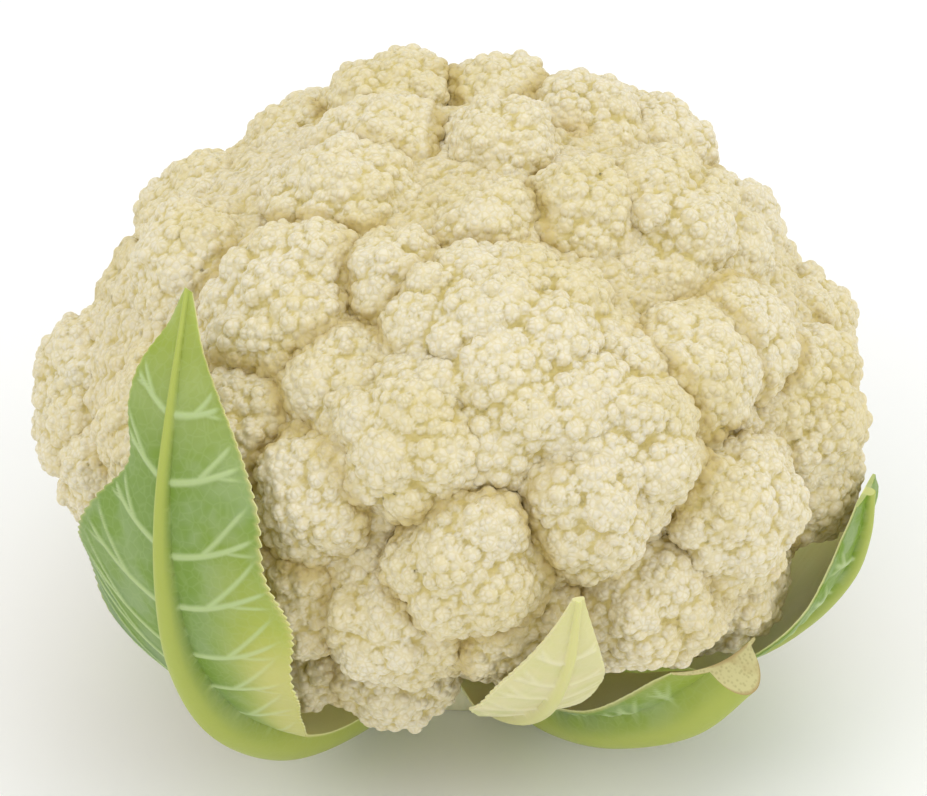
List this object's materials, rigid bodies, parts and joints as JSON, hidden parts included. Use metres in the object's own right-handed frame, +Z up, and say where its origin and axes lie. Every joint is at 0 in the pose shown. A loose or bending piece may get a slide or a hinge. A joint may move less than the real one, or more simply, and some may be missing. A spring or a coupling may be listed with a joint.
{
  "type": "cauliflower",
  "caption": "Whole cauliflower: a lumpy cream head of florets on a short cut stem, clasped by toothed green wrapper leaves, some trimmed to stubs, standing on the cut stem.",
  "frame": {"origin": "centre of the flat cut face of the stem, on which the head stands", "axes": "+Z up through the crown of the head, -Y towards the front with the small pale leaf, +X to the right seen from the front"},
  "size_m": [0.1779, 0.1816, 0.1349],
  "materials": {
    "curd": "matte cream flower buds, ochre in the creases",
    "stem": "pale green skin with a dry cream cut face",
    "leaf_green": "waxy green blade with raised pale ribs",
    "leaf_pale": "thin pale inner leaf, slightly glossy"
  },
  "bodies": {
    "root": {"stem": "stem", "curd": "curd", "leaf_left": "leaf_green", "leaf_front_small": "leaf_pale", "leaf_right_cut": "leaf_green", "leaf_right": "leaf_green", "leaf_back_right": "leaf_green", "leaf_back_cut": "leaf_green", "leaf_back_left": "leaf_green", "leaf_side_cut": "leaf_green"}
  },
  "joints": []
}
